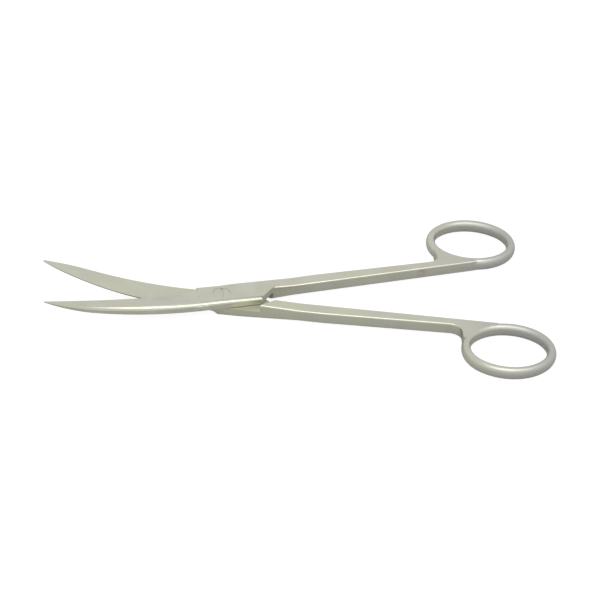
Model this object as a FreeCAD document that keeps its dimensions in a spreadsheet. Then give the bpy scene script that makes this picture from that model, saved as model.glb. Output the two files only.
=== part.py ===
import FreeCAD, Part
import math
import os
import re
import Sketcher

# Curved dissecting scissors: two forged halves that lap at a slotted pivot screw.
# Both halves are laid out as when closed, on the pivot axis, then turned apart.
# +X runs from the pivot to the finger rings, +Y to the upper half's ring, +Z up.
# Heights are counted from the mid-plane where the two halves meet.

DRIVING = {
    "open_angle": (22.56, "angle between the halves, degrees"),
    "plate_thick": (2.8, "thickness of each half at the joint"),
    "face_gap": (0.05, "each inner face stands this far off the mid-plane"),
    "flat_reach": (7.15, "the inner faces are flat to this radius, then curve up"),
    "blade_reach": (57.7, "pivot to blade tip"),
    "blade_rise": (8.1, "height that the curve lifts the tip"),
    "tip_thick": (1.0, "blade thickness at the tip, before its facet"),
    "tip_round": (0.5, "radius of the tip seen from above"),
    "tip_shift": (1.05, "how far the tip lies to the back side"),
    "edge_width": (5.0, "cutting edge from the middle line, next to the joint"),
    "edge_start": (8.5, "pivot to the start of the cutting edge"),
    "edge_bow": (168.0, "radius of the cutting edge seen from above"),
    "back_width": (4.3, "back of the blade from the middle line"),
    "back_bend": (42.0, "pivot to where the back turns in to the tip"),
    "facet_low": (1.2, "facet height above the inner face at the cutting edge, next to the joint"),
    "facet_high": (2.75, "facet height at the ridge"),
    "facet_drop": (2.2, "how much the facet sinks on its way to the tip"),
    "facet_start": (9.5, "pivot to the start of the full facet"),
    "scallop_round": (3.2, "radius of the ground scallop that ends the facet"),
    "ridge_width": (3.7, "ridge of the facet from the middle line, next to the joint"),
    "ridge_inset": (1.0, "ridge from the back of the blade, at the joint"),
    "tip_inset": (1.9, "ridge from the back of the blade, at the tip"),
    "back_swell": (0.8, "radius of the rounded back, against its section's diagonal"),
    "back_share": (0.4, "height of the rounded back, as a share of the thickness"),
    "plate_near": (5.1, "back side of the joint plate from the middle line"),
    "plate_far": (4.5, "ring side of the joint plate from the middle line"),
    "corner_round": (1.3, "rounding of the plate's rear corner"),
    "step_reach": (17.6, "pivot to the step wall, at the middle line"),
    "step_angle": (43.0, "slant of the step wall, degrees"),
    "step_clear": (0.4, "closed plate edge to the other half's step wall"),
    "taper_start": (5.5, "pivot to where the joint starts to thin"),
    "taper_end": (25.0, "pivot to where the shank has its own height"),
    "shank_wide": (5.1, "shank width where it is widest"),
    "wide_reach": (33.0, "pivot to where the shank is widest"),
    "shank_slim": (3.3, "shank width at the ring"),
    "shank_height": (3.9, "shank height"),
    "shank_spread": (0.75, "how far the shank's inner side draws off towards the ring"),
    "shank_bury": (3.2, "ring centre to the shank's end inside the ring's wire"),
    "shank_round": (0.6, "rounding of the shank's long edges"),
    "side_clear": (0.15, "closed halves to the middle line"),
    "ring_reach": (92.2, "pivot to the ring's centre"),
    "hole_long": (24.2, "finger hole, long way"),
    "hole_wide": (21.3, "finger hole, short way"),
    "ring_tilt": (12.85, "turn of the finger hole, degrees"),
    "wire_width": (3.0, "ring section seen from above"),
    "wire_height": (4.16, "ring section, height"),
    "web_round": (2.0, "fillet between shank and ring"),
    "web_bite": (0.35, "how deep that fillet runs into the ring's wire"),
    "screw_radius": (2.0, "threaded body of the pivot screw"),
    "screw_clear": (0.03, "running clearance round and under the screw"),
    "head_radius": (2.85, "screw head"),
    "head_thick": (1.2, "screw head"),
    "head_bevel": (0.2, "bevel round the screw head"),
    "slot_width": (1.0, "driver slot"),
    "slot_depth": (0.6, "driver slot"),
    "slot_turn": (-2.0, "turn of the slot from straight across, degrees"),
}

# Cutters that only have to pass the solid go this far past it: past everything, past a side, past an end.
FAR = 80
PAST = 6
SPARE = 1

# A half circle is drawn this little flatter, because a sketch can't hold an exact one by its radius.
NEARLY_HALF = 1.0001

doc = FreeCAD.newDocument("DissectingScissors")
sheet = doc.addObject("Spreadsheet::Sheet", "Sizes")
for row, (alias, (value, note)) in enumerate(DRIVING.items(), 1):
    sheet.set(f"A{row}", note)
    sheet.set(f"B{row}", str(value))
    sheet.setAlias(f"B{row}", alias)
doc.recompute()


def bind(text):
    """The same expression with each driving dimension read from the sheet."""
    return re.sub(r"[a-z]+_[a-z_]+", lambda word: "Sizes." + word.group(), str(text))


def number(text):
    """The value that an expression has now."""
    return float(sheet.evalExpression(bind(text)))


def plane_sketch(body, name, role, offset=None):
    """An empty sketch on one of the body's own origin planes."""
    sketch = body.newObject("Sketcher::SketchObject", name)
    plane = next(item for item in body.Origin.OriginFeatures if item.Role == role)
    sketch.AttachmentSupport = [(plane, "")]
    sketch.MapMode = "FlatFace"
    if offset is not None:
        sketch.setExpression(".AttachmentOffset.Base.z", bind(offset))
    return sketch


def hold(sketch, kind, *where_and_size):
    """One dimension of the sketch, bound to its expression."""
    *where, size = where_and_size
    index = sketch.addConstraint(Sketcher.Constraint(kind, *where, number(size)))
    sketch.setExpression(f"Constraints[{index}]", bind(size))


def place_point(sketch, edge, end, across, along):
    """Dimension a point of an edge from the sketch's origin."""
    hold(sketch, "DistanceX", -1, 1, edge, end, across)
    hold(sketch, "DistanceY", -1, 1, edge, end, along)


def outline(sketch, corners):
    """A closed outline. A corner is (x, y), or (x, y, radius) when an arc leads to it.

    The arc bulges to the right of its way for a positive radius, to the left for a negative one.
    """
    spots = [FreeCAD.Vector(number(c[0]), number(c[1]), 0) for c in corners]
    edges = []
    for i, corner in enumerate(corners):
        start, stop = spots[i - 1], spots[i]
        if len(corner) == 2:
            edges.append((sketch.addGeometry(Part.LineSegment(start, stop), False), 1, 2))
            continue
        radius = number(corner[2])
        chord = stop - start
        right = FreeCAD.Vector(chord.y, -chord.x, 0).normalize()
        side = math.copysign(1, radius)
        rise = abs(radius) - math.sqrt(radius ** 2 - (chord.Length / 2) ** 2)
        middle = (start + stop) / 2 + right * (rise * side)
        edge = sketch.addGeometry(Part.Arc(start, middle, stop), False)
        edges.append((edge, 1, 2) if side > 0 else (edge, 2, 1))
        hold(sketch, "Radius", edge, f"abs({corner[2]})")
    for i, corner in enumerate(corners):
        edge, _, last = edges[i]
        following, first, _ = edges[(i + 1) % len(edges)]
        sketch.addConstraint(Sketcher.Constraint("Coincident", edge, last, following, first))
        place_point(sketch, edge, last, corner[0], corner[1])


def feature(body, kind, name, profile=None):
    """A feature of the body on a sketch."""
    made = body.newObject("PartDesign::" + kind, name)
    if profile is not None:
        made.Profile = profile
        profile.Visibility = False
    return made


def near_edges(shape, wanted):
    """Names of the edges whose middle point passes the test."""
    names = []
    for index, edge in enumerate(shape.Edges, 1):
        middle = edge.valueAt((edge.FirstParameter + edge.LastParameter) / 2)
        if wanted(edge, middle):
            names.append(f"Edge{index}")
    return names


def tangent_radius(reach, rise):
    """Radius of an arc that starts level and has risen this much over this reach."""
    return f"((({reach}) * ({reach}) + ({rise}) * ({rise})) / (2 * ({rise})))"


def blade_profile(sketch, lap):
    """Side view of the blade blank, between two arcs that leave the joint level."""
    reach = "blade_reach - flat_reach"
    inner = tangent_radius(reach, "blade_rise")
    outer = tangent_radius(reach, f"blade_rise + {lap} * (tip_thick - plate_thick)")
    base = number("flat_reach")
    stop = number(f"blade_reach + {SPARE}")
    spots = {}
    arcs = {}
    for name, level, radius in (("inner", "face_gap", inner), ("outer", "plate_thick", outer)):
        size = number(radius)
        low = lap * number(level)
        centre = FreeCAD.Vector(-base, low + size, 0)
        down = -math.pi / 2
        swing = math.asin((stop - base) / size)
        arc = Part.ArcOfCircle(Part.Circle(centre, FreeCAD.Vector(0, 0, 1), size), down - swing, down)
        arcs[name] = sketch.addGeometry(arc, False)
        spots[name] = (FreeCAD.Vector(-base, low, 0), arc.StartPoint)
        hold(sketch, "Radius", arcs[name], radius)
        hold(sketch, "DistanceX", -1, 1, arcs[name], 3, "-flat_reach")
        place_point(sketch, arcs[name], 2, "-flat_reach", f"{lap} * {level}")
        hold(sketch, "DistanceX", -1, 1, arcs[name], 1, f"-(blade_reach + {SPARE})")
    above = FreeCAD.Vector(0, lap * number("plate_thick"), 0)
    below = FreeCAD.Vector(0, lap * number("face_gap"), 0)
    end = sketch.addGeometry(Part.LineSegment(spots["inner"][1], spots["outer"][1]), False)
    top = sketch.addGeometry(Part.LineSegment(spots["outer"][0], above), False)
    axis = sketch.addGeometry(Part.LineSegment(above, below), False)
    low = sketch.addGeometry(Part.LineSegment(below, spots["inner"][0]), False)
    joins = [
        (arcs["inner"], 1, end, 1),
        (end, 2, arcs["outer"], 1),
        (arcs["outer"], 2, top, 1),
        (top, 2, axis, 1),
        (axis, 2, low, 1),
        (low, 2, arcs["inner"], 2),
    ]
    for join in joins:
        sketch.addConstraint(Sketcher.Constraint("Coincident", *join))
    place_point(sketch, top, 2, "0", f"{lap} * plate_thick")
    place_point(sketch, axis, 2, "0", f"{lap} * face_gap")


def mirrored(corners, lap):
    """The same outline for the half that lies the other way over."""
    return [(c[0], f"{lap} * ({c[1]})", *(f"{lap} * ({r})" for r in c[2:])) for c in corners]


def fillet(body, name, radius, wanted):
    """Round the edges of the body so far that pass the test."""
    doc.recompute()
    base = body.Tip
    names = near_edges(base.Shape, wanted)
    made = body.newObject("PartDesign::Fillet", name)
    made.Base = (base, names)
    made.setExpression("Radius", bind(radius))
    return made


# Rear end of the joint plate: its slanted edge at the middle line, and its rounded corner at the back side.
STEP_SLOPE = "tan(step_angle)"
REAR_EDGE = "(step_reach - step_clear / sin(step_angle))"
CORNER_X = f"({REAR_EDGE} - (plate_near - side_clear) / {STEP_SLOPE})"
CORNER_TURN = "(corner_round * tan(step_angle / 2))"
PLATE_END = f"({CORNER_X} - {CORNER_TURN})"

# The back side of blade and plate is one straight line in plan: this is where it passes the pivot.
BACK_SLOPE = f"((plate_near - back_width) / (back_bend + {PLATE_END}))"
SIDE_HERE = f"(back_width + {BACK_SLOPE} * back_bend)"

# Ring: half its outside and half its wire's centre line, each the long way and the short way.
RING_LONG = "(hole_long / 2 + wire_width)"
RING_WIDE = "(hole_wide / 2 + wire_width)"
RING_SPAN = f"sqrt(({RING_LONG} * sin(ring_tilt)) ^ 2 + ({RING_WIDE} * cos(ring_tilt)) ^ 2)"
RING_MIDDLE = f"(side_clear + {RING_SPAN})"
RING_MEAN = "((hole_long + hole_wide) / 4 + wire_width)"
WIRE_LONG = f"({RING_LONG} - wire_width / 2)"
WIRE_WIDE = f"({RING_WIDE} - wire_width / 2)"

# The wire's centre line is an oval of four arcs that meet on the diagonals: two end arcs and two side arcs.
ARC_SPLIT = f"(({WIRE_LONG} - {WIRE_WIDE}) / (sqrt(2) - 1))"
END_ARC = f"({WIRE_WIDE} - {ARC_SPLIT} * (1 - sqrt(1 / 2)))"
SIDE_ARC = f"({END_ARC} + {ARC_SPLIT})"

# Outer side of the shank at the ring's root, and the fillet that joins it to the ring.
ROOT_SIDE = "(side_clear + shank_spread + shank_slim)"
ROOT_REACH = f"({RING_MEAN} + web_round - web_bite)"
ROOT_DOWN = f"({RING_MIDDLE} - {ROOT_SIDE} - web_round)"
ROOT_BACK = f"sqrt({ROOT_REACH} ^ 2 - {ROOT_DOWN} ^ 2)"
ROOT_X = f"(ring_reach - {ROOT_BACK})"
BITE_X = f"({ROOT_X} + web_round * {ROOT_BACK} / {ROOT_REACH})"
BITE_Y = f"({ROOT_SIDE} + web_round + web_round * {ROOT_DOWN} / {ROOT_REACH})"

# Radius of the back's turn to the tip, seen from above.
BACK_TURN = tangent_radius("blade_reach - tip_round - back_bend", "back_width - tip_round - tip_shift")

# Places along the blade where the section of its rounded back is given, ahead of the pivot.
BACK_STATIONS = [
    f"-({PLATE_END} + {SPARE})",
    "0",
    "flat_reach",
    "back_bend / 2",
    "back_bend * 3 / 4",
    "back_bend",
    "(back_bend + blade_reach) / 2",
    f"blade_reach + {SPARE}",
]

# Slopes of the joint's outer faces towards the shank, and of the ground facet across the blade.
TAPER_SLOPE = "((plate_thick - shank_height / 2) / (taper_end - taper_start))"
FACET_SLOPE = "((facet_high - facet_low) / (edge_width + ridge_width))"


def swept_rise(radius, out):
    """How far an arc that starts level has risen after this reach."""
    return f"({radius} - sqrt({radius} ^ 2 - ({out}) ^ 2))"


def back_section(station, lap):
    """Back, inner face, outer face and ridge inset of the blade at a station ahead of the pivot."""
    ahead = number(station)
    share = f"(({station} + {PLATE_END}) / (blade_reach + {PLATE_END}))"
    inset = f"(ridge_inset + (tip_inset - ridge_inset) * {share})"
    back = f"({SIDE_HERE} - {BACK_SLOPE} * ({station}))"
    if ahead > number("back_bend"):
        back = f"(back_width - {swept_rise(BACK_TURN, f'{station} - back_bend')})"
    if ahead <= number("flat_reach"):
        sink = f"(max({-ahead} - taper_start; 0) * {TAPER_SLOPE})"
        return back, "0", f"{lap} * (plate_thick - {sink})", inset
    reach = "blade_reach - flat_reach"
    inner = tangent_radius(reach, "blade_rise")
    outer = tangent_radius(reach, f"blade_rise + {lap} * (tip_thick - plate_thick)")
    out = f"{station} - flat_reach"
    return back, swept_rise(inner, out), f"({lap} * plate_thick + {swept_rise(outer, out)})", inset


def ring_hole(body, name, lap):
    """A plan sketch of the ring wire's centre line."""
    sketch = plane_sketch(body, name, "XY_Plane")
    sketch.AttachmentOffset = FreeCAD.Placement(
        FreeCAD.Vector(0, 0, 0), FreeCAD.Rotation(FreeCAD.Vector(0, 0, -lap), number("ring_tilt"))
    )
    sketch.setExpression(".AttachmentOffset.Base.x", bind("ring_reach"))
    sketch.setExpression(".AttachmentOffset.Base.y", bind(f"{lap} * {RING_MIDDLE}"))
    sketch.setExpression(".AttachmentOffset.Rotation.Angle", bind("ring_tilt"))
    across, along = f"{SIDE_ARC} * sqrt(1 / 2)", f"{END_ARC} * sqrt(1 / 2)"
    corners = [
        (across, along, END_ARC),
        (f"-{across}", along, SIDE_ARC),
        (f"-{across}", f"-{along}", END_ARC),
        (across, f"-{along}", SIDE_ARC),
    ]
    outline(sketch, corners)
    return sketch


def ring_quarter(body, index, lap):
    """A quarter of the ring's wire: its oval section turned about the centre of one of the four arcs."""
    reach, radius = ((WIRE_LONG, END_ARC), (WIRE_WIDE, SIDE_ARC))[index % 2]
    turn = f"ring_tilt + {90 * index}"
    sketch = plane_sketch(body, f"WireView{index}", "XZ_Plane")
    sketch.AttachmentOffset = FreeCAD.Placement(
        FreeCAD.Vector(0, 0, 0), FreeCAD.Rotation(FreeCAD.Vector(0, -lap, 0), number(turn))
    )
    sketch.setExpression(".AttachmentOffset.Base.x", bind("ring_reach"))
    sketch.setExpression(".AttachmentOffset.Base.z", bind(f"-{lap} * {RING_MIDDLE}"))
    sketch.setExpression(".AttachmentOffset.Rotation.Angle", bind(turn))
    centre = number(reach)
    middle = centre - number(radius)
    line = Part.LineSegment(FreeCAD.Vector(middle, 0, 0), FreeCAD.Vector(middle, SPARE, 0))
    axis = sketch.addGeometry(line, True)
    sketch.addConstraint(Sketcher.Constraint("Vertical", axis))
    place_point(sketch, axis, 1, f"{reach} - {radius}", "0")
    hold(sketch, "Distance", axis, SPARE)
    section = Part.Ellipse(
        FreeCAD.Vector(centre, number("wire_height") / 2, 0),
        FreeCAD.Vector(centre - number("wire_width") / 2, 0, 0),
        FreeCAD.Vector(centre, 0, 0),
    )
    oval = sketch.addGeometry(section, False)
    sketch.exposeInternalGeometry(oval)
    sketch.addConstraint(Sketcher.Constraint("Vertical", oval + 1))
    place_point(sketch, oval, 3, reach, "0")
    hold(sketch, "Distance", oval + 1, "wire_height")
    hold(sketch, "Distance", oval + 2, "wire_width")
    quarter = feature(body, "Revolution", f"RingQuarter{index}", sketch)
    quarter.ReferenceAxis = (sketch, ["Axis0"])
    quarter.Angle = 90
    quarter.Midplane = True


def cut_circle(body, name, radius, level, depth, down):
    """A round hole about the pivot axis, from this level."""
    sketch = plane_sketch(body, name + "Circle", "XY_Plane", level)
    circle = Part.Circle(FreeCAD.Vector(0, 0, 0), FreeCAD.Vector(0, 0, 1), number(radius))
    ring = sketch.addGeometry(circle, False)
    sketch.addConstraint(Sketcher.Constraint("Coincident", ring, 3, -1, 1))
    hold(sketch, "Radius", ring, radius)
    hole = feature(body, "Pocket", name, sketch)
    hole.setExpression("Length", bind(depth))
    hole.Reversed = not down
    return hole


def make_half(name, lap):
    """One half. lap is 1 for the upper half and -1 for the lower, which is turned over."""
    body = doc.addObject("PartDesign::Body", name)

    # Blade blank, turned about the pivot axis so that the two inner faces slide on each other.
    side_view = plane_sketch(body, "BladeSideView", "XZ_Plane")
    blade_profile(side_view, lap)
    blank = feature(body, "Revolution", "BladeBlank", side_view)
    blank.ReferenceAxis = (side_view, ["V_Axis"])
    blank.Angle = 180
    blank.Midplane = True
    doc.recompute()

    # Plan of the blade: everything outside it is cut away ahead of the pivot.
    tip_x = "-(blade_reach - tip_round)"
    plan = plane_sketch(body, "BladePlan", "XY_Plane")
    corners = [
        ("0", FAR),
        (-FAR, FAR),
        (-FAR, -FAR),
        ("0", -FAR),
        ("0", f"-{SIDE_HERE}"),
        ("-back_bend", "-back_width"),
        (tip_x, "-(tip_round + tip_shift)", f"-{BACK_TURN}"),
        (tip_x, "tip_round - tip_shift", f"-tip_round * {NEARLY_HALF}"),
        ("-edge_start", "edge_width", "-edge_bow"),
        ("0", "plate_far"),
    ]
    outline(plan, mirrored(corners, lap))
    trim = feature(body, "Pocket", "BladeTrim", plan)
    trim.Length = 2 * FAR
    trim.Midplane = True
    doc.recompute()

    # Everything behind the pivot in plan: joint plate, step, shank and the web at the ring.
    handle_plan = plane_sketch(body, "HandlePlan", "XY_Plane")
    corners = [
        ("0", "plate_far"),
        ("0", f"-{SIDE_HERE}"),
        (PLATE_END, "-plate_near"),
        (
            f"{CORNER_X} + {CORNER_TURN} * cos(step_angle)",
            f"-plate_near + {CORNER_TURN} * sin(step_angle)",
            "corner_round",
        ),
        (REAR_EDGE, "-side_clear"),
        ("step_reach", "side_clear"),
        ("ring_reach - shank_bury", "side_clear + shank_spread"),
        ("ring_reach - shank_bury", RING_MIDDLE),
        (f"ring_reach - {RING_MEAN} + wire_width / 2", RING_MIDDLE),
        (BITE_X, BITE_Y),
        (ROOT_X, ROOT_SIDE, "-web_round"),
        ("wide_reach", "side_clear + shank_wide"),
    ]
    outline(handle_plan, mirrored(corners, lap))
    handle = feature(body, "Pad", "Handle", handle_plan)
    handle.setExpression("Length", bind("2 * plate_thick"))
    handle.Midplane = True
    doc.recompute()

    # Room for the other half's plate, back to the slanted step wall.
    lap_plan = plane_sketch(body, "LapPlan", "XY_Plane", f"{lap} * face_gap")
    wide = f"(plate_near + {PAST})"
    corners = [
        ("0", f"-{wide}"),
        ("step_reach", f"-{wide}"),
        ("step_reach", "side_clear"),
        (f"step_reach - ({wide} - side_clear) / {STEP_SLOPE}", wide),
        ("0", wide),
    ]
    outline(lap_plan, mirrored(corners, lap))
    room = feature(body, "Pocket", "LapRoom", lap_plan)
    room.Length = FAR
    room.Reversed = lap < 0
    doc.recompute()

    # Seen from the side, the joint thins to the shank.
    taper_view = plane_sketch(body, "TaperView", "XZ_Plane")
    for side in (1, -1):
        corners = [
            ("taper_start", f"{side} * plate_thick"),
            ("taper_end", f"{side} * shank_height / 2"),
            (f"{FAR} + ring_reach", f"{side} * shank_height / 2"),
            (f"{FAR} + ring_reach", f"{side} * (plate_thick + {SPARE})"),
            ("taper_start", f"{side} * (plate_thick + {SPARE})"),
        ]
        outline(taper_view, corners)
    taper = feature(body, "Pocket", "Taper", taper_view)
    taper.Length = 2 * FAR
    taper.Midplane = True
    doc.recompute()

    # Rounded back of blade and plate, from the inner face up to the ridge.
    views = []
    for index, station in enumerate(BACK_STATIONS):
        view = plane_sketch(body, f"BackView{index}", "YZ_Plane", f"-({station})")
        back, floor, top, inset = back_section(station, lap)
        land = f"({top} + ({floor} - {top}) * back_share)"
        bow = f"-{lap} * back_swell * sqrt({inset} ^ 2 + ({top} - {land}) ^ 2)"
        corners = [
            (f"-{lap} * ({back} + {PAST})", land),
            (f"-{lap} * ({back} + {PAST})", f"{top} + {lap} * {PAST}"),
            (f"-{lap} * ({back} - {inset})", f"{top} + {lap} * {PAST}"),
            (f"-{lap} * ({back} - {inset})", top),
            (f"-{lap} * {back}", land, bow),
        ]
        outline(view, corners)
        views.append(view)
    rounded = feature(body, "SubtractiveLoft", "RoundedBack", views[0])
    rounded.Sections = views[1:]
    doc.recompute()

    # Ground facet of the cutting edge: a slanted line turned about a far axis across the blade.
    facet_view = plane_sketch(body, "FacetView", "YZ_Plane", "-facet_start")
    corners = [
        (f"{lap} * (edge_width + {PAST})", f"{lap} * (facet_low - {PAST} * {FACET_SLOPE})"),
        (f"-{lap} * (ridge_width + {PAST})", f"{lap} * (facet_high + {PAST} * {FACET_SLOPE})"),
        (f"-{lap} * (ridge_width + {PAST})", f"{lap} * (plate_thick + {PAST})"),
        (f"{lap} * (edge_width + {PAST})", f"{lap} * (plate_thick + {PAST})"),
    ]
    outline(facet_view, corners)
    facet_turn = tangent_radius("blade_reach - facet_start", f"blade_rise - {lap} * facet_drop")
    axis = facet_view.addGeometry(
        Part.LineSegment(
            FreeCAD.Vector(0, number(facet_turn), 0), FreeCAD.Vector(SPARE, number(facet_turn), 0)
        ),
        True,
    )
    facet_view.addConstraint(Sketcher.Constraint("Horizontal", axis))
    place_point(facet_view, axis, 1, "0", facet_turn)
    hold(facet_view, "Distance", axis, SPARE)
    facet = feature(body, "Groove", "Facet", facet_view)
    facet.ReferenceAxis = (facet_view, ["Axis0"])
    facet.setExpression("Angle", bind(f"asin((blade_reach + {SPARE}) / {facet_turn})"))
    facet.Reversed = False
    doc.recompute()

    # The facet ends at the joint in the scallop that the grinding wheel leaves.
    scallop_view = plane_sketch(body, "ScallopView", "XZ_Plane")
    scallop_view.AttachmentOffset = FreeCAD.Placement(
        FreeCAD.Vector(0, 0, 0), FreeCAD.Rotation(FreeCAD.Vector(-1, 0, 0), 10)
    )
    scallop_view.setExpression(
        ".AttachmentOffset.Base.y", bind(f"{lap} * (facet_low + {FACET_SLOPE} * edge_width)")
    )
    scallop_view.setExpression(".AttachmentOffset.Rotation.Angle", bind(f"atan({FACET_SLOPE})"))
    wheel = Part.Circle(
        FreeCAD.Vector(-number("facet_start"), lap * number("scallop_round"), 0),
        FreeCAD.Vector(0, 0, 1),
        number("scallop_round"),
    )
    wheel_edge = scallop_view.addGeometry(wheel, False)
    hold(scallop_view, "Radius", wheel_edge, "scallop_round")
    place_point(scallop_view, wheel_edge, 3, "-facet_start", f"{lap} * scallop_round")
    scallop = feature(body, "Pocket", "Scallop", scallop_view)
    scallop.Length = FAR
    scallop.Midplane = True
    doc.recompute()

    # Rounded long edges of the shank, along both sides and round the web's fillet.
    def on_shank(edge, middle):
        across = lap * middle.y
        outer_face = abs(middle.z) > number("shank_height / 2 - shank_round")
        outer_side = number("shank_slim") < across < number(BITE_Y)
        inner_side = 0 < across < number("shank_slim / 2")
        on_outer = outer_side and number("taper_start") < middle.x < number(f"{ROOT_X} + web_round")
        shank_end = number("ring_reach - shank_bury")
        on_inner = inner_side and number("step_reach") + SPARE < middle.x < shank_end - SPARE
        return outer_face and (on_outer or on_inner)

    fillet(body, "ShankEdges", "shank_round", on_shank)
    doc.recompute()

    # Finger ring: the web is opened to the ring's centre line, then the wire is laid round it.
    hole = feature(body, "Pocket", "HoleRoom", ring_hole(body, "HolePlan", lap))
    hole.Length = FAR
    hole.Midplane = True
    doc.recompute()
    for index in (2, 3, 0, 1):
        ring_quarter(body, index, lap)
        doc.recompute()

    # Pivot: the screw turns freely in the upper half and is threaded into the lower.
    if lap > 0:
        cut_circle(body, "PivotHole", "screw_radius + screw_clear", "plate_thick", FAR, True)
        cut_circle(
            body, "HeadSeat", "head_radius + screw_clear", "plate_thick", "head_thick + screw_clear", True
        )
    else:
        cut_circle(body, "PivotHole", "screw_radius", "0", FAR, True)
    return body


def make_screw(name):
    """Pivot screw: a slotted flush head over a body as deep as both halves."""
    body = doc.addObject("PartDesign::Body", name)
    profile = plane_sketch(body, "ScrewProfile", "XZ_Plane")
    corners = [
        ("0", "-plate_thick"),
        ("screw_radius", "-plate_thick"),
        ("screw_radius", "plate_thick - head_thick"),
        ("head_radius", "plate_thick - head_thick"),
        ("head_radius", "plate_thick - head_bevel"),
        ("head_radius - head_bevel", "plate_thick"),
        ("0", "plate_thick"),
    ]
    outline(profile, corners)
    turned = feature(body, "Revolution", "Turned", profile)
    turned.ReferenceAxis = (profile, ["V_Axis"])
    turned.Angle = 360
    doc.recompute()
    slot_plan = plane_sketch(body, "SlotPlan", "XY_Plane", "plate_thick")
    long = f"(head_radius + {SPARE})"
    corners = [
        ("slot_width / 2", f"-{long}"),
        ("slot_width / 2", long),
        ("-slot_width / 2", long),
        ("-slot_width / 2", f"-{long}"),
    ]
    outline(slot_plan, corners)
    slot = feature(body, "Pocket", "Slot", slot_plan)
    slot.setExpression("Length", bind("slot_depth"))
    doc.recompute()
    return body


def set_down(body, label, turn):
    """Name a piece and stand it on the joint's underside, turned about the pivot."""
    body.Label = label
    away = 1 if number(turn) >= 0 else -1
    body.Placement = FreeCAD.Placement(
        FreeCAD.Vector(0, 0, 0), FreeCAD.Rotation(FreeCAD.Vector(0, 0, away), 1)
    )
    body.setExpression(".Placement.Base.z", bind("plate_thick"))
    body.setExpression(".Placement.Rotation.Angle", bind(f"{away} * ({turn})"))


pieces = [
    ("upper_half", make_half("UpperHalf", 1), "open_angle / 2"),
    ("lower_half", make_half("LowerHalf", -1), "-open_angle / 2"),
    ("pivot_screw", make_screw("PivotScrew"), "slot_turn"),
]
for label, body, turn in pieces:
    set_down(body, label, turn)
doc.recompute()

for item in doc.Objects:
    if "Invalid" in item.State or "Error" in item.State:
        raise RuntimeError(f"{item.Label} failed: {item.State}")
for label, body, turn in pieces:
    shape = body.Shape
    if shape.isNull() or not shape.isValid() or len(shape.Solids) != 1:
        raise RuntimeError(f"{label} is not one valid solid")

os.makedirs("parts", exist_ok=True)
for label, body, turn in pieces:
    body.Shape.exportStep(f"parts/{label}.step")
    print(label, round(body.Shape.Volume, 2), "mm3")
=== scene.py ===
import math

import bmesh
import bpy
from mathutils import Matrix, Vector


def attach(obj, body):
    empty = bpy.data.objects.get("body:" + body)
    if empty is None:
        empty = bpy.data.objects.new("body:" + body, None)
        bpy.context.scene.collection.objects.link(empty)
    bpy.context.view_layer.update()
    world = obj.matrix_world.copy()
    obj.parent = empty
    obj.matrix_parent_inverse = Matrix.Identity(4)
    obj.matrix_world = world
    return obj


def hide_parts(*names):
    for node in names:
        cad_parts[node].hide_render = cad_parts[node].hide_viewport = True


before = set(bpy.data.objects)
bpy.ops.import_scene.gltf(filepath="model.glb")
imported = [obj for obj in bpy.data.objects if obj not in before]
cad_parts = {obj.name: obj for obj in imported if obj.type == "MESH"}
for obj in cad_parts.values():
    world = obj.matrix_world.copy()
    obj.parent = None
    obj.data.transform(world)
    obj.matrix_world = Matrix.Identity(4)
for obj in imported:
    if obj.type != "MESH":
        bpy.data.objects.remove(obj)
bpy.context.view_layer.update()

MM = 0.001

# Upper half: one piece forged in stainless steel, from the blade's tip to its finger ring.
# It was ground, then satin finished along its length, which leaves a fine grain and soft edges.
# It lies on top at the joint and turns on the pivot screw.
HALF_TURN = math.radians(22.56 / 2)
MERGE = 0.001 * MM

# Colours of the steel: bright, in the dull clouds, in the warm ones, at the rings, and the stain.
STEEL = (0.555, 0.555, 0.47, 1)
STEEL_DULL = (0.49, 0.485, 0.41, 1)
STEEL_WARM = (0.57, 0.57, 0.44, 1)
STEEL_RING = (0.455, 0.452, 0.42, 1)
STAIN = (0.36, 0.22, 0.15, 1)

# How fine each pattern is, how many layers it has and how rough they are.
GRAIN = (5200, 4.0, 0.6)
CLOUDS = (140, 3.0, 0.55)
WARM_CLOUDS = (70, 2.0, 0.5)
STAIN_SPECKS = (900, 4.0, 0.6)

# Where the patterns take hold, from nothing to all, and how much they change.
MIDDLE_TONES = (0.3, 0.7)
DULL_FROM = (0.35, 0.75)
WARM_FROM = (0.45, 0.75)
SPECKS_FROM = (0.35, 0.6)
WARM_MOST = 0.8
STAIN_MOST = 0.65
CLOUD_SHEEN = (0.31, 0.40)
GRAIN_SHEEN = (-0.04, 0.04)
GRAIN_LENGTH = 24
GRAIN_DEPTH = 0.02 * MM
GRAIN_STRENGTH = 0.25
RING_SPAN = (70 * MM, 92 * MM)
RING_SHEEN = (0.0, 0.14)
STAIN_SPOT = Vector((67.7, 14.2, 3.0)) * MM
STAIN_REACH = 2.2 * MM


def nodes_of(material):
    """An empty node tree with its Principled shader wired to the output."""
    material.use_nodes = True
    tree = material.node_tree
    tree.nodes.clear()
    shader = tree.nodes.new("ShaderNodeBsdfPrincipled")
    output = tree.nodes.new("ShaderNodeOutputMaterial")
    tree.links.new(shader.outputs["BSDF"], output.inputs["Surface"])
    return tree, shader


def along_piece(tree, place, turn):
    """The place turned along the piece and squeezed that way, for a pattern of long strokes."""
    along = tree.nodes.new("ShaderNodeMapping")
    along.vector_type = "TEXTURE"
    along.inputs["Rotation"].default_value = (0, 0, turn)
    along.inputs["Scale"].default_value = (GRAIN_LENGTH, 1, 1)
    tree.links.new(place, along.inputs["Vector"])
    return along.outputs["Vector"]


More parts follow.
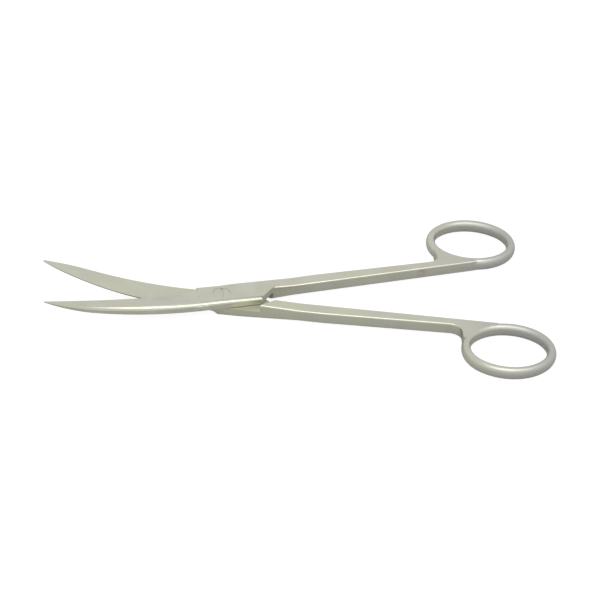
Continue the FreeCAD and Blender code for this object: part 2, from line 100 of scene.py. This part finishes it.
def noise(tree, place, pattern):
    """The value of a noise pattern, between 0 and 1."""
    made = tree.nodes.new("ShaderNodeTexNoise")
    for socket, number in zip(("Scale", "Detail", "Roughness"), pattern):
        made.inputs[socket].default_value = number
    tree.links.new(place, made.inputs["Vector"])
    return made.outputs["Fac"]


def spread(tree, value, span, to_span=(0.0, 1.0)):
    """The value's way through one span, as the same way through another, and held at its ends."""
    made = tree.nodes.new("ShaderNodeMapRange")
    for socket, number in zip(("From Min", "From Max", "To Min", "To Max"), span + to_span):
        made.inputs[socket].default_value = number
    tree.links.new(value, made.inputs["Value"])
    return made.outputs["Result"]


def worked_out(tree, operation, first, second):
    """The two values added or multiplied."""
    made = tree.nodes.new("ShaderNodeMath")
    made.operation = operation
    tree.links.new(first, made.inputs[0])
    tree.links.new(second, made.inputs[1])
    return made.outputs["Value"]


def blended(tree, share, first, second):
    """The first colour, a pattern's or a plain one, going over into the plain second one."""
    made = tree.nodes.new("ShaderNodeMix")
    made.data_type = "RGBA"
    if isinstance(first, tuple):
        made.inputs["A"].default_value = first
    else:
        tree.links.new(first, made.inputs["A"])
    made.inputs["B"].default_value = second
    tree.links.new(share, made.inputs["Factor"])
    return made.outputs["Result"]


def stain(tree, place):
    """How strong the stain is: speckled, and fading with the distance from its middle."""
    away = tree.nodes.new("ShaderNodeVectorMath")
    away.operation = "DISTANCE"
    away.inputs[1].default_value = STAIN_SPOT
    tree.links.new(place, away.inputs[0])
    fading = spread(tree, away.outputs["Value"], (0.0, STAIN_REACH), (1.0, 0.0))
    specks = spread(tree, noise(tree, place, STAIN_SPECKS), SPECKS_FROM, (0.0, STAIN_MOST))
    return worked_out(tree, "MULTIPLY", fading, specks)


def satin_steel(name, turn, stained=False):
    """Satin stainless steel: a grain along the piece, a cloudy sheen, duller towards the ring."""
    material = bpy.data.materials.new(name)
    tree, shader = nodes_of(material)
    place = tree.nodes.new("ShaderNodeTexCoord").outputs["Object"]
    split = tree.nodes.new("ShaderNodeSeparateXYZ")
    tree.links.new(place, split.inputs["Vector"])
    back = split.outputs["X"]
    grain = noise(tree, along_piece(tree, place, turn), GRAIN)
    clouds = noise(tree, place, CLOUDS)
    warm = noise(tree, place, WARM_CLOUDS)

    colour = blended(tree, spread(tree, clouds, DULL_FROM), STEEL, STEEL_DULL)
    colour = blended(tree, spread(tree, warm, WARM_FROM, (0.0, WARM_MOST)), colour, STEEL_WARM)
    colour = blended(tree, spread(tree, back, RING_SPAN), colour, STEEL_RING)
    if stained:
        colour = blended(tree, stain(tree, place), colour, STAIN)
    tree.links.new(colour, shader.inputs["Base Color"])
    shader.inputs["Metallic"].default_value = 1.0

    grain_sheen = spread(tree, grain, MIDDLE_TONES, GRAIN_SHEEN)
    cloud_sheen = spread(tree, clouds, MIDDLE_TONES, CLOUD_SHEEN)
    sheen = worked_out(tree, "ADD", grain_sheen, cloud_sheen)
    sheen = worked_out(tree, "ADD", sheen, spread(tree, back, RING_SPAN, RING_SHEEN))
    tree.links.new(sheen, shader.inputs["Roughness"])

    strokes = tree.nodes.new("ShaderNodeBump")
    strokes.inputs["Strength"].default_value = GRAIN_STRENGTH
    strokes.inputs["Distance"].default_value = GRAIN_DEPTH
    tree.links.new(grain, strokes.inputs["Height"])
    tree.links.new(strokes.outputs["Normal"], shader.inputs["Normal"])
    return material


# The fill at the ring's root, in mm in the half's own frame: its free outline and its buried corners.
ROOT_CURVE = [
    (72.5, 4.27), (73.5, 4.31), (74.3, 4.42), (75.0, 4.64), (75.7, 4.98), (76.3, 5.42),
    (76.8, 6.0), (77.1, 6.65), (77.3, 7.5), (77.38, 8.6), (77.45, 9.8), (77.8, 11.2),
]
ROOT_INSIDE = [
    (78.9, 11.4), (79.4, 10.0), (80.0, 8.8), (80.9, 7.5), (82.0, 6.0), (82.0, 2.0), (73.0, 2.0),
]
SHANK_HEIGHTS = (0.85, 4.75)
EDGE_ROUND = 0.6
EDGE_ROUND_STEPS = 4

# The blade, in mm: its sliding face is level up to BLADE_FLAT and then rises in an arc.
MIDDLE = 2.8
FACE_GAP = 0.05
BLADE_FLAT = 7.15
BLADE_REACH = 57.7
BLADE_CURVE = 161.8
UPPER_LONGER = 0.9
DRAWN_FROM = 20

# Its ground facet, in mm: the cutting edge's outline, the thickness there and how it changes.
GROUND_FROM = 9.5
GROUND_FADE = 5
EDGE_WIDTH = 4.95
EDGE_OVER = 0.55
EDGE_BOW = 7.0
EDGE_THICK = 1.2
THIN_EDGE = 0.3
FACET_SLOPE = 0.178
FACET_CURVE = {1: 199.8, -1: 117.9}
RIDGE = 3.0

# Edges: what still looks rounded, what is crisp, and how far crisp ones on the handle are broken.
SOFT_EDGE = math.radians(30)
CRISP_EDGE = math.radians(40)
BROKEN_EDGE = 0.12
BROKEN_EDGE_STEPS = 2
BLADE_FROM = -8


def in_scene(shape, name):
    """The finished shape as an object of that name in the scene."""
    made = bpy.data.objects.new(name, bpy.data.meshes.new(name))
    shape.to_mesh(made.data)
    shape.free()
    bpy.context.scene.collection.objects.link(made)
    return made


def rise(curve, out):
    """How high an arc of that radius has risen at a way out from where it starts level."""
    return curve - math.sqrt(curve ** 2 - out ** 2)


def edge_grinding(ahead, across, side):
    """How much the last grinding takes off the outer face there, down to a thin cutting edge."""
    share = (ahead - GROUND_FROM) / (BLADE_REACH - GROUND_FROM)
    edge = EDGE_WIDTH * (1 - share) - EDGE_OVER * share + EDGE_BOW * share * (1 - share)
    thinning = rise(FACET_CURVE[side], ahead - GROUND_FROM) - rise(BLADE_CURVE, ahead - BLADE_FLAT)
    thick = EDGE_THICK + FACET_SLOPE * (EDGE_WIDTH - edge) + side * thinning
    near_edge = min(1, max(0, (across + RIDGE) / (edge + RIDGE)))
    return max(0, thick - THIN_EDGE) * near_edge * min(1, (ahead - GROUND_FROM) / GROUND_FADE)


def forging(node, name, side, longer):
    """A half's CAD mesh copied and closed, its blade ground thin and drawn out along its curve."""
    shape = bmesh.new()
    shape.from_mesh(node.data)
    bmesh.ops.remove_doubles(shape, verts=shape.verts, dist=MERGE)
    to_half = Matrix.Rotation(-side * HALF_TURN, 3, "Z")
    for vert in shape.verts:
        place = to_half @ vert.co / MM
        ahead = -place.x
        if ahead > GROUND_FROM:
            out = ahead - BLADE_FLAT
            slope = out / math.sqrt(BLADE_CURVE ** 2 - out ** 2)
            above = side * (place.z - MIDDLE - rise(BLADE_CURVE, out))
            spare = max(0, above - FACE_GAP - THIN_EDGE)
            place.z -= side * min(spare, edge_grinding(ahead, side * place.y, side))
            more = longer * (max(0, ahead - DRAWN_FROM) / (BLADE_REACH - DRAWN_FROM)) ** 2
            place += Vector((-more, 0, more * slope))
            vert.co = to_half.transposed() @ place * MM
    return in_scene(shape, name)


def close_between(shape, first, second):
    """Faces over two rings of corners and between them."""
    shape.faces.new(first)
    shape.faces.new(second)
    for index in range(len(first)):
        after = (index + 1) % len(first)
        shape.faces.new((first[index], first[after], second[after], second[index]))
    bmesh.ops.recalc_face_normals(shape, faces=shape.faces)


def turn_flat(shape, turn):
    """The shape turned about the pivot."""
    bmesh.ops.rotate(shape, verts=shape.verts, cent=(0, 0, 0), matrix=Matrix.Rotation(turn, 3, "Z"))


def prism(name, corners, heights, turn, rounded=0):
    """A plate with these corners in mm, the first few of them on an outline whose edges are rounded."""
    shape = bmesh.new()
    rings = [[shape.verts.new((x * MM, y * MM, z * MM)) for x, y in corners] for z in heights]
    close_between(shape, *rings)
    soft = []
    for index in range(len(corners)):
        after = (index + 1) % len(corners)
        if after < rounded:
            soft += [shape.edges.get((ring[index], ring[after])) for ring in rings]
    bmesh.ops.bevel(
        shape, geom=soft, offset=EDGE_ROUND * MM, segments=EDGE_ROUND_STEPS, profile=0.5, affect="EDGES"
    )
    turn_flat(shape, turn)
    return in_scene(shape, name)


def join(piece, tools):
    """Works each (operation, tool) into the piece, as one plain mesh with softly shaded curves."""
    for operation, tool in tools:
        work = piece.modifiers.new(operation, "BOOLEAN")
        work.operation = operation
        work.solver = "EXACT"
        work.object = tool
    depsgraph = bpy.context.evaluated_depsgraph_get()
    final = bpy.data.meshes.new_from_object(piece.evaluated_get(depsgraph))
    piece.modifiers.clear()
    piece.data = final
    for operation, tool in tools:
        bpy.data.objects.remove(tool)
    shape = bmesh.new()
    shape.from_mesh(final)
    bmesh.ops.remove_doubles(shape, verts=shape.verts, dist=MERGE / 2)
    bmesh.ops.recalc_face_normals(shape, faces=shape.faces)
    for face in shape.faces:
        face.smooth = True
    broken = shape.edges.layers.float.new("bevel_weight_edge")
    for edge in shape.edges:
        angle = edge.calc_face_angle_signed(0) if edge.is_manifold else 0
        edge.smooth = abs(angle) < SOFT_EDGE
        on_handle = min(vert.co.x for vert in edge.verts) > BLADE_FROM * MM
        edge[broken] = float(on_handle and angle > CRISP_EDGE)
    shape.to_mesh(final)
    shape.free()
    soft = piece.modifiers.new("broken_edges", "BEVEL")
    soft.limit_method = "WEIGHT"
    soft.width = BROKEN_EDGE * MM
    soft.segments = BROKEN_EDGE_STEPS


def half_piece(body, side, tools, longer=0.0, stained=False):
    """One half of the scissors: the forging with its filled ring root, ground and finished."""
    name = body + "_half"
    turn = side * HALF_TURN
    piece = forging(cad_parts[name], name + "_forging", side, longer)
    corners = [(x, side * y) for x, y in ROOT_CURVE + ROOT_INSIDE]
    root = prism(name + "_root", corners, SHANK_HEIGHTS, turn, len(ROOT_CURVE))
    join(piece, [("UNION", root)] + tools)
    piece.data.materials.clear()
    piece.data.materials.append(satin_steel(name + "_satin", turn, stained))
    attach(piece, body)
    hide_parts(name)


half_piece("upper", 1, [], UPPER_LONGER, stained=True)

# Lower half: the same forging turned over, with its blade curved the same way, passing below.
# The pivot screw is threaded into it. The satin strokes run along this half.
# Its ground facet starts nearer to the pivot, in a scallop left by the wheel on the underside.
WHEEL_ROUND = 3.2
WHEEL_START = 3.4
WHEEL_REACH = 14.0
WHEEL_ARC = math.radians(80)
WHEEL_STEPS = 12
WHEEL_SIDES = (-8.0, 9.0)
FACET_EDGE = (-5.1, 1.6)
FACET_TILT = math.radians(10)


def wheel_cut():
    """What the grinding wheel takes off the lower half's underside: a flat that ends in an arc."""
    angles = [WHEEL_ARC * step / WHEEL_STEPS for step in range(WHEEL_STEPS + 1)]
    outline = [(-WHEEL_REACH, -WHEEL_ROUND), (-WHEEL_REACH, 0)]
    for angle in angles:
        outline.append((WHEEL_ROUND * math.sin(angle) - WHEEL_START, WHEEL_ROUND * (math.cos(angle) - 1)))
    outline.append((outline[-1][0], -WHEEL_ROUND))
    shape = bmesh.new()
    rings = []
    for across in WHEEL_SIDES:
        y = FACET_EDGE[0] + across * math.cos(FACET_TILT)
        z = FACET_EDGE[1] - across * math.sin(FACET_TILT)
        rings.append([shape.verts.new((x * MM, y * MM, (z + up) * MM)) for x, up in outline])
    close_between(shape, *rings)
    turn_flat(shape, -HALF_TURN)
    return in_scene(shape, "wheel_cut")


half_piece("lower", -1, [("DIFFERENCE", wheel_cut())])

# Pivot screw: turned steel with a driver slot, its head ground flush with the upper half.
# The head has the halves' satin finish, so little more than its slot and rim shows.
SCREW_OUTLINE = [
    (0, 0.02), (1.85, 0.02), (2.0, 0.15), (2.0, 4.35),
    (2.82, 4.4), (2.87, 4.5), (2.87, 5.5), (2.8, 5.58), (0, 5.6),
]
SCREW_SIDES = 96
SCREW_GRAIN = math.radians(50)
SLOT_HALF_WIDE = 0.45
SLOT_REACH = 4
SLOT_HEIGHTS = (5.25, 7)
SLOT_TURN = math.radians(-4)


def turned(name, outline):
    """A body turned on a lathe from its outline of (radius, height) in mm."""
    shape = bmesh.new()
    line = [shape.verts.new((radius * MM, 0, height * MM)) for radius, height in outline]
    edges = [shape.edges.new(pair) for pair in zip(line, line[1:])]
    bmesh.ops.spin(
        shape, geom=line + edges, axis=(0, 0, 1), cent=(0, 0, 0), steps=SCREW_SIDES, angle=2 * math.pi
    )
    bmesh.ops.remove_doubles(shape, verts=shape.verts, dist=MERGE)
    bmesh.ops.recalc_face_normals(shape, faces=shape.faces)
    return in_scene(shape, name)


screw = turned("pivot_screw_turned", SCREW_OUTLINE)
slot_corners = [
    (x * SLOT_HALF_WIDE, y * SLOT_REACH) for x, y in ((-1, -1), (1, -1), (1, 1), (-1, 1))
]
join(screw, [("DIFFERENCE", prism("driver_slot", slot_corners, SLOT_HEIGHTS, SLOT_TURN))])
screw.data.materials.append(satin_steel("screw_satin", SCREW_GRAIN))
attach(screw, "lower")
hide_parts("pivot_screw")

# Floor: a plain white sheet that the scissors lie on, large enough to fill the view.
# The camera sees it nearly white of itself, and it still takes the shadow.
FLOOR_HALF_SIDE = 3.0
FLOOR_PALE = (0.50, 0.50, 0.50, 1)
FLOOR_OWN = 0.75
FLOOR_GLOW = 1.25

sheet = bpy.data.meshes.new("floor")
floor_corners = [
    (x * FLOOR_HALF_SIDE, y * FLOOR_HALF_SIDE, 0) for x, y in ((-1, -1), (1, -1), (1, 1), (-1, 1))
]
sheet.from_pydata(floor_corners, [], [(0, 1, 2, 3)])
floor = bpy.data.objects.new("floor", sheet)
bpy.context.scene.collection.objects.link(floor)

white = bpy.data.materials.new("floor_white")
white.use_nodes = True
tree = white.node_tree
tree.nodes.clear()
lit = tree.nodes.new("ShaderNodeBsdfDiffuse")
lit.inputs["Color"].default_value = FLOOR_PALE
glow = tree.nodes.new("ShaderNodeEmission")
glow.inputs["Strength"].default_value = FLOOR_GLOW
rays = tree.nodes.new("ShaderNodeLightPath")
own = tree.nodes.new("ShaderNodeMath")
own.operation = "MULTIPLY"
own.inputs[1].default_value = FLOOR_OWN
tree.links.new(rays.outputs["Is Camera Ray"], own.inputs[0])
paper = tree.nodes.new("ShaderNodeMixShader")
tree.links.new(own.outputs["Value"], paper.inputs["Fac"])
tree.links.new(lit.outputs["BSDF"], paper.inputs[1])
tree.links.new(glow.outputs["Emission"], paper.inputs[2])
surface = tree.nodes.new("ShaderNodeOutputMaterial")
tree.links.new(paper.outputs["Shader"], surface.inputs["Surface"])
sheet.materials.append(white)

# Light: one wide soft box, high on the viewer's side, in an even pale room.
# The box gives the bright lines along the edges, and the room fills the flat faces.
BOX_PLACE = Vector((0.1, -0.62, 1.14))
BOX_WIDE = 1.6
BOX_HIGH = 0.7
BOX_POWER = 8.5
ROOM_PALE = (0.97, 0.97, 0.97, 1)

soft_box = bpy.data.lights.new("soft_box", "AREA")
soft_box.shape = "RECTANGLE"
soft_box.size = BOX_WIDE
soft_box.size_y = BOX_HIGH
soft_box.energy = BOX_POWER
box_stand = bpy.data.objects.new("soft_box", soft_box)
box_stand.location = BOX_PLACE
box_stand.rotation_euler = (-BOX_PLACE).to_track_quat("-Z", "Y").to_euler()
bpy.context.scene.collection.objects.link(box_stand)

room = bpy.data.worlds.new("room")
bpy.context.scene.world = room
room.use_nodes = True
room.node_tree.nodes["Background"].inputs["Color"].default_value = ROOM_PALE
room.node_tree.nodes["Background"].inputs["Strength"].default_value = 1.0

# Camera: where the photograph was taken from, to the left of the pivot and 33 degrees up.
# Its place and turn were worked out from the outlines of both halves.
VIEW_TURN = -0.175
VIEW_RISE = 0.576
VIEW_ROLL = 0.081
VIEW_DISTANCE = 742 * MM
VIEW_ASIDE = 25.149 * MM
LENS = 138.9
SENSOR_WIDTH = 36

ahead = Vector((
    -math.sin(VIEW_TURN) * math.cos(VIEW_RISE),
    math.cos(VIEW_TURN) * math.cos(VIEW_RISE),
    -math.sin(VIEW_RISE),
))
level = Vector((math.cos(VIEW_TURN), math.sin(VIEW_TURN), 0))
upright = level.cross(ahead)
right = math.cos(VIEW_ROLL) * level + math.sin(VIEW_ROLL) * upright
up = math.cos(VIEW_ROLL) * upright - math.sin(VIEW_ROLL) * level
lens = bpy.data.cameras.new("camera")
lens.lens = LENS
lens.sensor_width = SENSOR_WIDTH
camera = bpy.data.objects.new("camera", lens)
stand = Vector((0, 0, MIDDLE * MM)) - VIEW_DISTANCE * ahead + VIEW_ASIDE * right
facing = Matrix((right, up, -ahead)).transposed().to_4x4()
camera.matrix_world = Matrix.Translation(stand) @ facing
bpy.context.scene.collection.objects.link(camera)
bpy.context.scene.camera = camera
bpy.context.scene.view_settings.view_transform = "Standard"
